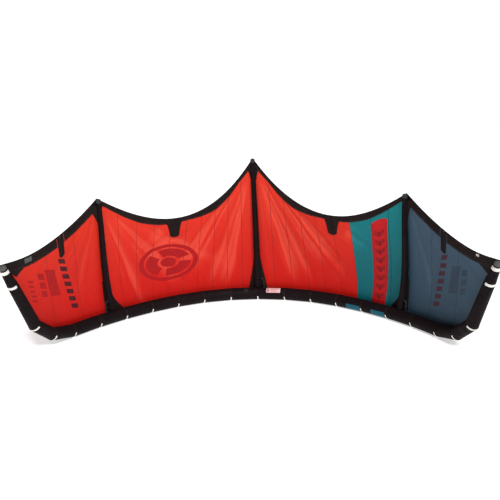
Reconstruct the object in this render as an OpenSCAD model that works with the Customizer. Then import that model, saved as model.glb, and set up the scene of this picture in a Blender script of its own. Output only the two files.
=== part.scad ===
// Inflatable kitesurf kite, 12 square metres flat, with three struts, standing on its leading edge.
// Millimetres. +X runs along the span, +Z is up, and the hollow side faces -Y.
// The wing is laid out flat first: s runs outwards along the span from the centre, and h runs up the
// chord from the leading edge. at(s, h, n) bends that layout round the arc, n being outwards from it.
// Sides are built for +X, and left() mirrors them.

/* [Wing] */
// Spacing of the seams across the leading edge tube
seam_step = 436; // [400:1:460]
// Bend radius of the wing's plan near its centre
arc_r_centre = 2255; // [2150:5:2400]
// Bend radius of the wing's plan towards its tips
arc_r_tip = 3900; // [3500:10:4500]
// Lean of the chord out of upright, towards the hollow side
lean = 12; // [8:1:16]
// Distance of a side strut from the centre, along the span
strut_s = 2325; // [2250:5:2400]
// Chord at the centre strut
chord_centre = 2310; // [2200:10:2400]
// Chord at a side strut
chord_side = 1895; // [1800:5:1950]
// Dip of the trailing edge between the centre and a side strut
scallop_inner = 640; // [500:10:700]
// Dip of the trailing edge between a side strut and the tip
scallop_tip = 165; // [100:5:200]
// Camber of the cloth, as a share of the chord
camber = 0.04; // [0.02:0.005:0.06]

/* [Tubes] */
// Radius of the leading edge tube at the centre
le_r_centre = 93; // [85:1:100]
// Radius of a strut where it meets the leading edge
strut_r_front = 56; // [50:1:60]
// Radius of a strut at the trailing edge
strut_r_back = 31; // [28:1:36]
// Wall of the woven sleeves
sleeve_wall = 1.2; // [1:0.1:2]
// Wall of the airtight bladders
bladder_wall = 0.8; // [0.6:0.1:1]

/* [Cloth] */
// Thickness of the canopy cloth
cloth = 1; // [1:0.1:1.5]
// Number of cloth panels between two struts
panels_inner = 10; // [8:1:12]
// Width of the trailing edge band between the struts
band_inner = 70; // [60:1:90]
// Width of the trailing edge band outside the struts
band_tip = 108; // [90:1:120]

/* [Fittings] */
// Radius of the inflation valve's bore
valve_bore_r = 11; // [10:0.5:12]
// Radius of the eye of a webbing loop
loop_eye_r = 9; // [8:0.5:10]
// Width of the webbing of a loop
loop_w = 20; // [15:1:25]
// Outer radius of an inflation hose
hose_r = 8; // [7:0.5:9]

/* [Hidden] */

DEG = 180 / PI;
SIDES = 24;              // sides of a tube
ROWS = 11;               // rows of facets up a canopy panel
GAP = 0.5;               // room between a piece and the one it lies on
SEAM_GAP = 0.3;          // room between two pieces sewn edge to edge
CLOTH_GAP = 3;           // room between two sewn layers that bend differently
STRUT_GAP = 6;           // room between a strut and the cloth that is sewn along it
GUARD_T = 1.2;           // thickness of a seam guard
LIFT = GUARD_T + GAP;    // height of the tube's underside over the ground, with the guards on the ground
DEPTH_SHIFT = 1276.6;    // puts the middle of the wing's depth at y = 0
ARC_SWITCH = 3 * seam_step;
TURN_SWITCH = ARC_SWITCH / arc_r_centre * DEG;
TIP_S = 3865;            // span position of the tip's end
TIP_CHORD = 1290;        // chord position of the tip's end
SEAM_LEAN = 150;         // how far a panel seam leans to the centre at the trailing edge
FIRST_TIP_SEAM = 8;      // the first seam of the leading edge that is off the ground
LE_END = 12;             // the last ring of the leading edge tube

// Span and chord positions of the tube's middle at seams 8 to 12, where it turns up into the wing tip
TIP_PATH = [[3358, 157], [3595, 380], [3785, 1010], [3853, 1213], [3865, 1255]];

// ---- numbers and points ----
function lerp(a, b, t) = a + (b - a) * t;
function unit(v) = v / norm(v);
function clamp01(t) = min(1, max(0, t));
function mirrored(p) = [-p.x, p.y, p.z];
// Puts children on a frame with the given x and y directions and origin
module at_frame(x, y, p) {
  z = cross(x, y);
  multmatrix([[x.x, y.x, z.x, p.x], [x.y, y.y, z.y, p.y], [x.z, y.z, z.z, p.z], [0, 0, 0, 1]]) children();
}

// ---- the wing's layout ----
function heading(s) =
  s < ARC_SWITCH ? s / arc_r_centre * DEG : TURN_SWITCH + (s - ARC_SWITCH) / arc_r_tip * DEG;
function plan_x(s) =
  s < ARC_SWITCH ? arc_r_centre * sin(heading(s))
  : arc_r_centre * sin(TURN_SWITCH) + arc_r_tip * (sin(heading(s)) - sin(TURN_SWITCH));
function plan_y(s) =
  DEPTH_SHIFT + (s < ARC_SWITCH ? arc_r_centre * (cos(heading(s)) - 1)
  : arc_r_centre * (cos(TURN_SWITCH) - 1) + arc_r_tip * (cos(heading(s)) - cos(TURN_SWITCH)));
CHORD_DIR = [0, -sin(lean), cos(lean)];
function out_dir(s) =
  unit([cos(lean) * sin(heading(s)), cos(lean) * cos(heading(s)), sin(lean) * cos(heading(s))]);
function span_dir(s) = cross(out_dir(s), CHORD_DIR);
function at(s, h, n) = [plan_x(s), plan_y(s), LIFT] + h * CHORD_DIR + n * out_dir(s);

// Chord position of the trailing edge
function te_h(s) =
  s <= strut_s
  ? let (t = s / strut_s)
    lerp(chord_centre, chord_side, t) - 4 * scallop_inner * t * (1 - t) * (1 + 0.45 * (0.5 - t))
  : let (t = (s - strut_s) / (TIP_S - strut_s))
    lerp(chord_side, TIP_CHORD, t) - 4 * scallop_tip * t * (1 - t);

// ---- the leading edge tube ----
function le_r(i) = lookup(i, [[0, le_r_centre], [7, 85], [8, 82], [9, 78], [10, 64], [11, 46], [12, 40]]);
function le_centre(i) =
  i < FIRST_TIP_SEAM ? [plan_x(i * seam_step), plan_y(i * seam_step), le_r(i) + LIFT]
  : at(TIP_PATH[i - FIRST_TIP_SEAM].x, TIP_PATH[i - FIRST_TIP_SEAM].y, 0);
function le_s(i) = i < FIRST_TIP_SEAM ? i * seam_step : TIP_PATH[i - FIRST_TIP_SEAM].x;
function le_before(i) = i == 0 ? mirrored(le_centre(1)) : le_centre(i - 1);
// Directions of the tube before and after seam i
function le_in(i) = unit(le_centre(i) - le_before(i));
function le_out(i) = i == LE_END ? le_in(i) : unit(le_centre(i + 1) - le_centre(i));

// A ring round the tube at seam i, on the plane that halves its bend. Angle 0 is outwards from the
// wing, 90 towards the trailing edge, 180 into its hollow side.
function ring_point(i, r, angle) =
  let (m = unit(le_in(i) + le_out(i)), n0 = out_dir(le_s(i)), n = unit(n0 - m * (n0 * m)), b = cross(m, n),
       bend = le_out(i) - le_in(i), k = norm(bend) < 1e-6 ? n : unit(bend),
       stretch = 1 / (m * le_in(i)) - 1, v = r * (cos(angle) * n + sin(angle) * b))
  le_centre(i) + v + k * ((v * k) * stretch);
function ring(i, r) = [for (j = [0 : SIDES - 1]) ring_point(i, r, j * 360 / SIDES)];

// A frame on the straight tube between seams i and i + 1: share of the way along, and angle round
function le_share(i, share) = lerp(le_centre(i), le_centre(i + 1), share);
function le_radial(i, angle) =
  let (t = le_out(i), n0 = out_dir(lerp(le_s(i), le_s(i + 1), 0.5)), n = unit(n0 - t * (n0 * t)))
  cos(angle) * n + sin(angle) * cross(t, n);
module on_tube(i, share, angle, off = 0) {
  z = le_radial(i, angle);
  at_frame(le_out(i), cross(z, le_out(i)), le_share(i, share) + z * (lerp(le_r(i), le_r(i + 1), share) + off))
    children();
}

// ---- the canopy's shape ----
// Lower edge of the cloth, on the tube's middle line
function low_h(s) =
  let (top = TIP_PATH[1].x)
  s <= 7 * seam_step ? lookup(s / seam_step, [[0, le_r(0)], [7, le_r(7)]])
  : lookup(min(s, top), [[7 * seam_step, le_r(7)], TIP_PATH[0], TIP_PATH[1]]);
function band_w(s) = s <= strut_s ? band_inner : band_tip;
// How far the straight tube between two seams lies inside the arc
function tube_sag(s) =
  let (f = s / seam_step - floor(s / seam_step), r = s < ARC_SWITCH ? arc_r_centre : arc_r_tip)
  s > 7 * seam_step ? 0 : seam_step * seam_step / (2 * r) * f * (1 - f);
// Distance of the tube's middle line over the arc, and of the cloth's lower edge
function tube_n(s) =
  s <= 7 * seam_step ? le_r(s / seam_step) * out_dir(s).z - tube_sag(s)
  : lookup(s, [[7 * seam_step, le_r(7) * out_dir(7 * seam_step).z], [TIP_PATH[0].x, 0]]);
function edge_n(s) = tube_n(s) + tube_sag(s) / 2 + le_r(min(s / seam_step, 9)) + CLOTH_GAP;
// Radius of the tube where it runs up the wing tip, by chord position
function tip_tube_r(h) = lookup(h, [for (i = [9 : LE_END]) [TIP_PATH[i - FIRST_TIP_SEAM].y, le_r(i)]]);
// Share of the way from the leading edge to the trailing edge
function v_of(s, h) = clamp01((h - low_h(s)) / (te_h(s) - low_h(s)));
// Height of the cloth over the arc
function cloth_n(s, h) =
  let (v = v_of(s, h),
       bump = v * (1 - v) * (1 - v) / 0.148,
       fade = clamp01((TIP_S - s) / (TIP_S - strut_s)),
       plain = edge_n(s) * (1 - v) + camber * te_h(s) * bump * fade,
       to_tube = max(0, lerp(TIP_PATH[1].x, TIP_S, v) - s - 12),
       near_tube = exp(-pow(to_tube / 250, 2)))
  lerp(plain, tip_tube_r(h) + CLOTH_GAP + 1, near_tube);
// A point on the cloth's hollow side, lifted off it by a distance
function on_cloth(s, h, lift) = at(s, h, cloth_n(s, h) - lift);

// Span position of seam k between the centre and the side strut, and of the seams outside it
function seam_s(k, v) = k * strut_s / panels_inner - SEAM_LEAN * sin(180 * k / panels_inner) * v;
// The right bay has fewer and wider red panels, then three teal ones
TEAL_FROM = 6.72;
LEFT_SEAMS = [for (k = [0 : panels_inner]) k];
RED_SEAMS = [for (k = [0 : 6]) k * TEAL_FROM / 6];
TEAL_SEAMS = [TEAL_FROM, panels_inner - 2, panels_inner - 1, panels_inner];
TIP_SEAMS = [[strut_s, strut_s], [2758, 2748], [3196, 3205], [TIP_PATH[1].x, TIP_S]];
function tip_seam_s(k, v) = lerp(TIP_SEAMS[k][0], TIP_SEAMS[k][1], v);

// ---- solids from grids of points ----
function quad(a, b, c, d) = [[a, b, c], [a, c, d]];
function grid_faces(rows, cols, wrap_rows) = [
  for (i = [0 : rows - (wrap_rows ? 1 : 2)], j = [0 : cols - 1])
    let (up = ((i + 1) % rows) * cols, next = (j + 1) % cols)
    each quad(i * cols + j, i * cols + next, up + next, up + j)];
function flat(rows) = [for (r = rows) each r];

// A closed band of rings, such as a tube with a wall: out along its outside and back along its inside
module ring_solid(rings) {
  polyhedron(flat(rings), grid_faces(len(rings), len(rings[0]), true));
}

// Rings closed by a point at each end
module spindle_solid(rings, first, last) {
  rows = len(rings);
  cols = len(rings[0]);
  a = rows * cols;
  polyhedron(concat(flat(rings), [first, last]), concat(
    grid_faces(rows, cols, false),
    [for (j = [0 : cols - 1]) [a, (j + 1) % cols, j]],
    [for (j = [0 : cols - 1]) [a + 1, (rows - 1) * cols + j, (rows - 1) * cols + (j + 1) % cols]]));
}

// A sheet between two grids of points with the same rows and columns
module sheet_solid(front, back) {
  rows = len(front);
  half = len(front[0]);
  cols = 2 * half;
  loops = [for (i = [0 : rows - 1]) concat(front[i], [for (j = [half - 1 : -1 : 0]) back[i][j]])];
  polyhedron(flat(loops), concat(
    grid_faces(rows, cols, false),
    [for (j = [0 : half - 2]) each quad(j, cols - 1 - j, cols - 2 - j, j + 1)],
    [for (j = [0 : half - 2]) let (o = (rows - 1) * cols)
      each quad(o + j, o + j + 1, o + cols - 2 - j, o + cols - 1 - j)]));
}

module left() mirror([1, 0, 0]) children();

// ---- leading edge ----
function shifted(points, i, way = 1) = [for (p = points) p + way * SEAM_GAP / 2 * le_out(i)];
module le_sleeve(first, last) {
  for (i = [first : last - 1])
    ring_solid([shifted(ring(i, le_r(i)), i), shifted(ring(i + 1, le_r(i + 1)), i, -1),
                shifted(ring(i + 1, le_r(i + 1) - sleeve_wall), i, -1), shifted(ring(i, le_r(i) - sleeve_wall), i)]);
}

function bladder_r(i) = i == LE_END ? 8 : le_r(i) - sleeve_wall - GAP;
function both_sides(r) = concat(
  [for (i = [LE_END : -1 : 1]) [for (p = ring(i, r(i))) mirrored(p)]], [for (i = [0 : LE_END]) ring(i, r(i))]);
module le_bladder() color("whitesmoke") difference() {
  ring_solid(concat(both_sides(function (i) bladder_r(i)),
                    [for (k = [0 : 2 * LE_END]) let (i = abs(LE_END - k), p = ring(i, bladder_r(i) - bladder_wall))
                      k < LE_END ? p : [for (q = p) mirrored(q)]]));
  valve_hole();
}

// ---- valve, on the left half of the tube beside the centre strut ----
VALVE_SHARE = 0.43;
VALVE_ANGLE = 122;
NECK_R = valve_bore_r + 5;
module at_valve(off = 0) left() on_tube(0, VALVE_SHARE, VALVE_ANGLE, off) children();
module valve_hole() at_valve() translate([0, 0, -30]) cylinder(r = NECK_R + 1, h = 60, $fn = 48);
module le_sleeve_left_inner() color("black") difference() {
  left() le_sleeve(0, 5);
  valve_hole();
}
module valve_saddle() color("dimgray") difference() {
  at_valve(-14) cylinder(r = 36, h = 19, $fn = 64);
  at_valve(-le_r(0.43)) rotate([0, 90, 0]) cylinder(r = le_r(0) + GAP, h = 120, center = true, $fn = 96);
  at_valve(-20) cylinder(r = NECK_R + GAP, h = 40, $fn = 64);
}
CAP_HINGE_X = 30;
module valve_body() color("gray") difference() {
  union() {
    at_valve(-22) cylinder(r = NECK_R, h = 34, $fn = 64);
    at_valve(5 + GAP) cylinder(r = 25, h = 3, $fn = 64);
    for (side = [-1, 1]) at_valve(5 + GAP)
      hull() {
        translate([CAP_HINGE_X - 10, side * 9 - 2, 0]) cube([8, 4, 3]);
        translate([CAP_HINGE_X, side * 9 - 2, 8]) rotate([-90, 0, 0]) cylinder(r = 4, h = 4, $fn = 32);
      }
  }
  at_valve(-23) cylinder(r = valve_bore_r, h = 40, $fn = 64);
  at_valve(5 + GAP) translate([CAP_HINGE_X, -12, 8]) rotate([-90, 0, 0]) cylinder(r = 1.5, h = 24, $fn = 32);
}
module valve_cap_pin() color("silver") at_valve(5 + GAP)
  translate([CAP_HINGE_X, -11, 8]) rotate([-90, 0, 0]) cylinder(r = 1.45, h = 22, $fn = 32);
module valve_cap() color("dimgray") difference() {
  union() {
    at_valve(9) difference() {
      cylinder(r = NECK_R + 5, h = 8.5, $fn = 64);
      translate([0, 0, -1]) cylinder(r = NECK_R + 1, h = 4.5, $fn = 64);
    }
    at_valve(12.5) translate([15, -5, 0]) cube([CAP_HINGE_X - 15, 10, 3]);
    at_valve(5 + GAP) translate([CAP_HINGE_X, -5, 8]) rotate([-90, 0, 0]) cylinder(r = 4, h = 10, $fn = 32);
  }
  at_valve(5 + GAP) translate([CAP_HINGE_X, -12, 8]) rotate([-90, 0, 0]) cylinder(r = 1.55, h = 24, $fn = 32);
}
module valve_flap() color("silver") at_valve(-22 - GAP - 1.5) {
  cylinder(r = NECK_R - 1, h = 1.5, $fn = 64);
  translate([-NECK_R, -4, 0]) cube([6, 8, 1.5]);
  translate([-NECK_R, -4, 0.75]) rotate([-90, 0, 0]) cylinder(r = 0.75, h = 8, $fn = 24);
}

// ---- struts ----
function strut_chord(s) = te_h(s) - 22;
function strut_r(s, h) = lerp(strut_r_front, strut_r_back, h / strut_chord(s));
STRUT_FROM = 180;        // chord position of a strut's front end, except where the tube is in its way
STRUT_RINGS = 8;
function strut_h(s, k) = lerp(STRUT_FROM, strut_chord(s), pow(k / STRUT_RINGS, 0.9));
// The strut's middle line, straight from one ring to the next
function strut_n(s, h) = lookup(h, [for (k = [0 : STRUT_RINGS])
  let (q = strut_h(s, k)) [q, cloth_n(s, q) - strut_r(s, q) - STRUT_GAP]]);
function strut_dir(s, k) = unit(strut_mid(s, strut_h(s, k)) - strut_mid(s, strut_h(s, k - 1)));
function strut_mid(s, h) = at(s, h, strut_n(s, h));
// Where something beside the cloth at s meets the leading edge tube, for a point n over the arc and x along it
function cope_h(s, n, x) =
  let (r = le_r(abs(s + x) / seam_step), tube = tube_n(abs(s + x)) - x * x / (2 * arc_r_centre),
       climb = sin(heading(s)) * sin(lean))
  r * cos(lean) + x * climb / sqrt(1 - climb * climb) + sqrt(max(0, pow(r + 4, 2) - pow(n - tube, 2)));
function strut_ring_at(s, h, r, t) =
  let (x = span_dir(s), y = cross(x, t))
  [for (j = [0 : SIDES - 1]) let (a = j * 360 / SIDES) strut_mid(s, h) + r * (cos(a) * x + sin(a) * y)];
// Ring k of a strut, on the plane that halves its bend, and the front ring cut to the leading edge tube
function strut_ring(s, k, r) =
  ring_along(strut_ring_at(s, strut_h(s, k), r, strut_dir(s, max(1, k))), strut_dir(s, max(1, k)),
             strut_mid(s, strut_h(s, k)), unit(strut_dir(s, max(1, k)) + strut_dir(s, min(STRUT_RINGS, k + 1))));
function ring_along(points, t, middle, plane) = [for (p = points) p - t * ((p - middle) * plane) / (t * plane)];
// Chord position where a ring point, moved along the strut, meets the tube
function cope_at(s, p) = let (d = p - at(s, 0, 0)) cope_h(s, d * out_dir(s), d * span_dir(s));
function chord_of(s, p) = (p - at(s, 0, 0)) * CHORD_DIR;
function coped_ring(s, shrink) =
  let (t = strut_dir(s, 1), h = strut_h(s, 0), x = span_dir(s), y = cross(x, t), m = strut_mid(s, h))
  [for (j = [0 : SIDES - 1])
    let (a = j * 360 / SIDES, d = cos(a) * x + sin(a) * y,
         r = strut_r(s, cope_at(s, m + strut_r(s, h) * d)) - shrink, p = m + r * d)
    p + t * ((max(STRUT_FROM, cope_at(s, p)) - chord_of(s, p)) / (t * CHORD_DIR))];
function strut_rings(s, shrink) = concat(
  [coped_ring(s, shrink)],
  [for (k = [1 : STRUT_RINGS]) strut_ring(s, k, strut_r(s, strut_h(s, k)) - shrink)]);
function back_to_front(a) = [for (i = [len(a) - 1 : -1 : 0]) a[i]];
module strut_sleeve(s) color("black")
  ring_solid(concat(strut_rings(s, 0), back_to_front(strut_rings(s, sleeve_wall))));
// A strut's bladder is round at the front and gathered to a small neck at the back
module strut_bladder(s) color("whitesmoke") {
  first = 240;
  end = strut_chord(s) - 4;
  skin = function (shrink) let (room = sleeve_wall + GAP + shrink) concat(
    [strut_ring_at(s, first + shrink, strut_r(s, first) - room, strut_dir(s, 1))],
    [for (k = [1 : STRUT_RINGS - 1]) strut_ring(s, k, strut_r(s, strut_h(s, k)) - room)],
    [strut_ring_at(s, end - 12, strut_r(s, end) - room - 0.5, strut_dir(s, STRUT_RINGS))]);
  spindle_solid(concat(skin(0), back_to_front(skin(bladder_wall))),
                strut_mid(s, first), strut_mid(s, first + bladder_wall));
}
// Fabric end of a strut: a plug in the tube and a rounded nose past it
module strut_tip_cap(s) color("dimgray") {
  e = strut_chord(s);
  steps = [[-1, 0.6], [0.5, 1], [8, 0.93], [15, 0.7], [19, 0.4]];
  t = strut_dir(s, STRUT_RINGS);
  rings = [for (q = steps)
    [for (p = strut_ring_at(s, e, strut_r_back * q[1], t)) p + t * (q[0] + 1.2)]];
  spindle_solid(rings, strut_mid(s, e) + t * 0.2, strut_mid(s, e) + t * 21);
}

// ---- canopy ----
function cloth_grid(s_low, s_high, lift, cols) = [for (i = [0 : ROWS])
  let (v = i / ROWS)
  [for (j = [0 : cols])
    let (s0 = lerp(s_low[0], s_high[0], j / cols), s1 = lerp(s_low[1], s_high[1], j / cols), s = lerp(s0, s1, v),
         h = lerp(low_h(s0), te_h(s1) - band_w((s_low[1] + s_high[1]) / 2), v))
    on_cloth(s, h, lift)]];
module panel(s_low, s_high, cols)
  let (gap = [SEAM_GAP / 2, SEAM_GAP / 2])
  sheet_solid(cloth_grid(s_low + gap, s_high - gap, 0, cols), cloth_grid(s_low + gap, s_high - gap, -cloth, cols));
module inner_panels(seams)
  for (j = [0 : len(seams) - 2]) let (a = seams[j], b = seams[j + 1])
    panel([seam_s(a, 0), seam_s(a, 1)], [seam_s(b, 0), seam_s(b, 1)], 2);
module tip_panels()
  for (k = [0 : 2]) panel(TIP_SEAMS[k], TIP_SEAMS[k + 1], 4);

// Tall red stripe sewn on the teal panels
STRIPE_LEAN = 0.26;   // how much further in, in panels, the stripe's foot is
module accent_stripe() color("red") {
  grid = function (lift) [for (v = [0.03 : 0.08 : 0.92]) [for (u = [0.03, 0.5, 0.97])
    let (s = seam_s(panels_inner - 2 + u - STRIPE_LEAN * (1 - v), v), h = lerp(low_h(s), te_h(s) - band_inner, v))
    on_cloth(s, h, lift)]];
  sheet_solid(grid(CLOTH_GAP + cloth), grid(CLOTH_GAP));
}

// ---- trailing edge ----
function band_grid(stops, w, lift) = [for (r = [0, 1]) [for (s = stops)
  on_cloth(s, te_h(s) - w * (1 - r), lift)]];
module band(stops, w) color("black") sheet_solid(band_grid(stops, w, 0.5), band_grid(stops, w, -cloth - 0.5));
function inner_stops(seams) = [for (k = [0 : 2 * len(seams) - 2])
  let (a = seam_s(seams[floor(k / 2)], 1), b = seam_s(seams[ceil(k / 2)], 1)) (a + b) / 2];
TIP_STOPS = [for (k = [0 : 2], j = [0 : (k == 2 ? 4 : 3)]) lerp(TIP_SEAMS[k][1], TIP_SEAMS[k + 1][1], j / 4)];

// Batten pockets: a patch that narrows from the trailing edge, with a flat rod under it
POCKET_INNER = [1205, 290, 146, 62];   // span position, length, half widths at the edge and at the point
POCKET_TIP = [2955, 290, 48, 42];
POCKET_LIFT = 8;
function pocket_grid(p, lift) = [for (t = [0 : 0.125 : 1]) [for (u = [-1, 0, 1])
  let (w = lerp(p[2], p[3], t) * (t > 0.95 ? 0.7 : 1), s = p[0] + u * w)
  on_cloth(s, te_h(s) - 3 - p[1] * t, lift)]];
module batten_pocket(p) color("black")
  sheet_solid(pocket_grid(p, POCKET_LIFT + cloth), pocket_grid(p, POCKET_LIFT));
module batten(p) {
  rod = function (lift) [for (t = [0.05 : 0.1 : 0.95]) [for (u = [-1, 1])
    let (s = p[0] + u * 8) on_cloth(s, te_h(p[0]) - p[1] * t, lift)]];
  sheet_solid(rod(POCKET_LIFT - 1.5), rod(POCKET_LIFT - 4));
}

// ---- black reinforcements on the cloth ----
TIP_PATCH_GAP = 6;
module tip_patch() color("black") {
  a = [3660, 1075];
  b = [3390, 1262];
  grid = function (lift) [for (t = [0 : 0.1 : 1])
    let (low = lerp(a, b, t), s = lerp(3795, 3402, t), high = [s, te_h(s) - band_tip - 4])
    [for (u = [0, 0.5, 1]) let (p = lerp(low, high, u)) on_cloth(p.x, p.y, lift)]];
  sheet_solid(grid(TIP_PATCH_GAP + cloth), grid(TIP_PATCH_GAP));
}

// Flares beside a strut: from chord position h0 with half width w0 to h1 with w1
module flare(s, h0, w0, h1, w1, dir) {
  grid = function (lift) [for (t = [0 : 0.125 : 1]) let (h = lerp(h0, h1, t))
    [for (u = [0, 0.5, 1])
      let (q = abs(s + dir * lerp(26, lerp(w0, w1, t), u)))
      on_cloth(q, h, lift)]];
  if (dir > 0) sheet_solid(grid(CLOTH_GAP + cloth), grid(CLOTH_GAP));
  else sheet_solid(grid(CLOTH_GAP), grid(CLOTH_GAP + cloth));
}
module strut_flares(s, dir) {
  flare(s, 215, 145, 660, 52, dir);
  flare(s, te_h(s) - 330, 40, te_h(s) - 150, 92, dir);
}
module strut_gusset_side() color("black") {
  strut_flares(strut_s, 1);
  strut_flares(strut_s, -1);
}
module strut_gusset_centre() color("black") {
  strut_flares(0, 1);
  left() strut_flares(0, 1);
}

// ---- strips round the leading edge tube ----
// A strip across the tube at seam i, from angle a to b, w wide and t thick
module cross_strip(i, a, b, w, t, off) {
  steps = (b - a) / (360 / SIDES);
  grid = function (r) [for (j = [0 : steps]) let (p = ring_point(i, le_r(i) + r, lerp(a, b, j / steps)))
    [p - le_in(i) * (w / 2), p, p + le_out(i) * (w / 2)]];
  sheet_solid(grid(off), grid(off + t));
}
GUARD_FROM = 180;
GUARD_TO = 345;
module seam_guards() color("white") {
  for (i = [1 : 10]) {
    cross_strip(i, GUARD_FROM, GUARD_TO, 22, GUARD_T, GAP);
    left() cross_strip(i, GUARD_FROM, GUARD_TO, 22, GUARD_T, GAP);
  }
  cross_strip(0, GUARD_FROM, GUARD_TO, 22, GUARD_T, GAP);
}
WEBBING_GAP = 2.2;
module tip_webbing() color("white") {
  cross_strip(11, 150, 345, 34, 1.6, WEBBING_GAP);
  left() cross_strip(11, 150, 345, 34, 1.6, WEBBING_GAP);
}
module tip_end_cap() color("dimgray") {
  e = le_in(LE_END);
  r = le_r(LE_END);
  steps = [[0, 1], [10, 0.96], [20, 0.82], [28, 0.58], [33, 0.3]];
  rings = [for (q = steps) [for (p = ring(LE_END, r * q[1])) p + e * (q[0] + GAP)]];
  spindle_solid(rings, le_centre(LE_END) + e * GAP, le_centre(LE_END) + e * 35);
}

// A patch lying on the tube between seams i and i + 1
module tube_patch(i, share0, share1, a, b) {
  steps = 8;
  grid = function (off) [for (j = [0 : steps]) let (dir = le_radial(i, lerp(a, b, j / steps)))
    [for (q = [share0, share1]) le_share(i, q) + dir * (lerp(le_r(i), le_r(i + 1), q) + off)]];
  sheet_solid(grid(1), grid(2));
}
module care_label() color("mistyrose") tube_patch(0, 0.32, 0.84, 143, 89);
module edge_patches() color("teal") {
  tube_patch(3, 0.42, 0.96, 230, 163);
  tube_patch(4, 0.42, 0.96, 230, 163);
}

// ---- hoses from the leading edge to the struts ----
HOSE_BEND = 45;
HOSE_SIDE = 99;          // distance of the hose's upright part from the strut's middle
HOSE_IN = 38;            // distance of the hose inside the arc
HOSE_TURN = 305;         // chord position where the hose starts to bend
// A frame beside a strut, on the hollow side: x along the span, y up the chord, z into the hollow
module beside(s) at_frame(span_dir(s), CHORD_DIR, at(s, 0, HOSE_IN)) children();
function hose_low(s) = cope_h(s, HOSE_IN, HOSE_SIDE) + 12;
module hose_path(s, r, spare) beside(s) {
  translate([HOSE_SIDE, hose_low(s) - spare, 0]) rotate([-90, 0, 0])
    cylinder(r = r, h = HOSE_TURN - hose_low(s) + spare, $fn = 32);
  translate([HOSE_SIDE - HOSE_BEND, HOSE_TURN, 0]) rotate_extrude(angle = 90, $fn = 64)
    translate([HOSE_BEND, 0]) circle(r = r, $fn = 32);
}
module hose(s) color("silver") difference() {
  hose_path(s, hose_r, 0);
  hose_path(s, hose_r - 2, 1);
}
// A round foot on the leading edge tube for the hose to end on
module hose_fitting(s, i) {
  difference() {
    beside(s) translate([HOSE_SIDE, hose_low(s) - 40, 0]) rotate([-90, 0, 0]) difference() {
      cylinder(r = 16, h = 40 - GAP, $fn = 48);
      translate([0, 0, -1]) cylinder(r = hose_r - 2, h = 42, $fn = 32);
    }
    at_frame(le_out(i), unit(cross([0, 0, 1], le_out(i))), le_share(i, 0.5))
      rotate([0, 90, 0]) cylinder(r = le_r(i) + GAP, h = seam_step + 60, center = true, $fn = 96);
  }
}

// Pinch clip on the upright part of a hose: a body behind the hose and a jaw hinged in front of it
CLIP_H = 262;
CLIP_W = 15;
CLIP_HINGE_Z = 11;
module at_clip(s) beside(s) translate([HOSE_SIDE, CLIP_H, 0]) children();
module clip_body(s) color("gray") at_clip(s) difference() {
  union() {
    translate([-CLIP_W, -9, -13]) cube([2 * CLIP_W, 18, 12.6]);
    for (y = [-9, 5]) translate([0, y, 0]) hull() {
      translate([CLIP_W - 1, 0, -4]) cube([6, 4, 1]);
      translate([CLIP_W + 3, 0, CLIP_HINGE_Z - 8]) rotate([-90, 0, 0]) cylinder(r = 3.5, h = 4, $fn = 32);
    }
    translate([CLIP_W + 3, -9, CLIP_HINGE_Z - 8]) rotate([-90, 0, 0]) cylinder(r = 1.45, h = 18, $fn = 32);
  }
  translate([0, -10, 0]) rotate([-90, 0, 0]) cylinder(r = hose_r + 0.3, h = 20, $fn = 48);
}
module clip_jaw(s) color("dimgray") at_clip(s) difference() {
  union() {
    translate([-CLIP_W, -9, 0.4]) cube([2 * CLIP_W - 1.2, 18, 11]);
    translate([CLIP_W - 5, -4.5, 0.4]) cube([8, 9, 5]);
    translate([CLIP_W + 3, -4.5, CLIP_HINGE_Z - 8]) rotate([-90, 0, 0]) cylinder(r = 3.5, h = 9, $fn = 32);
  }
  translate([0, -10, 0]) rotate([-90, 0, 0]) cylinder(r = hose_r + 0.3, h = 20, $fn = 48);
  translate([CLIP_W + 3, -10, CLIP_HINGE_Z - 8]) rotate([-90, 0, 0]) cylinder(r = 1.5, h = 20, $fn = 32);
}

// ---- webbing loops, each an eye on a foot that lies on the tube between seams i and i + 1 ----
// The eye's axis is one of the object's own: X, Y or Z. The foot faces square to it and to the tube.
LOOP_OUT = loop_eye_r + 2;
module web_loop(i, share, eye_axis, side) color("black") {
  z = side * unit(cross(le_out(i), eye_axis));
  at_frame(eye_axis, cross(z, eye_axis), le_share(i, share) + z * (lerp(le_r(i), le_r(i + 1), share) + 1.2))
    difference() {
      union() {
        translate([-loop_w / 2, 0, LOOP_OUT]) rotate([0, 90, 0]) cylinder(r = LOOP_OUT, h = loop_w, $fn = 64);
        translate([-loop_w / 2, -14, 0]) cube([loop_w, 28, 2]);
      }
      translate([-loop_w, 0, LOOP_OUT]) rotate([0, 90, 0]) cylinder(r = loop_eye_r, h = 2 * loop_w, $fn = 64);
    }
}
module tip_loops() {
  web_loop(9, 0.9, [1, 0, 0], -1);
  web_loop(10, 0.5, [1, 0, 0], -1);
}
module bridle_tabs() {
  for (i = [3, 5]) {
    web_loop(i, 0.25, [0, 0, 1], 1);
    left() web_loop(i, 0.25, [0, 0, 1], 1);
  }
}

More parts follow.
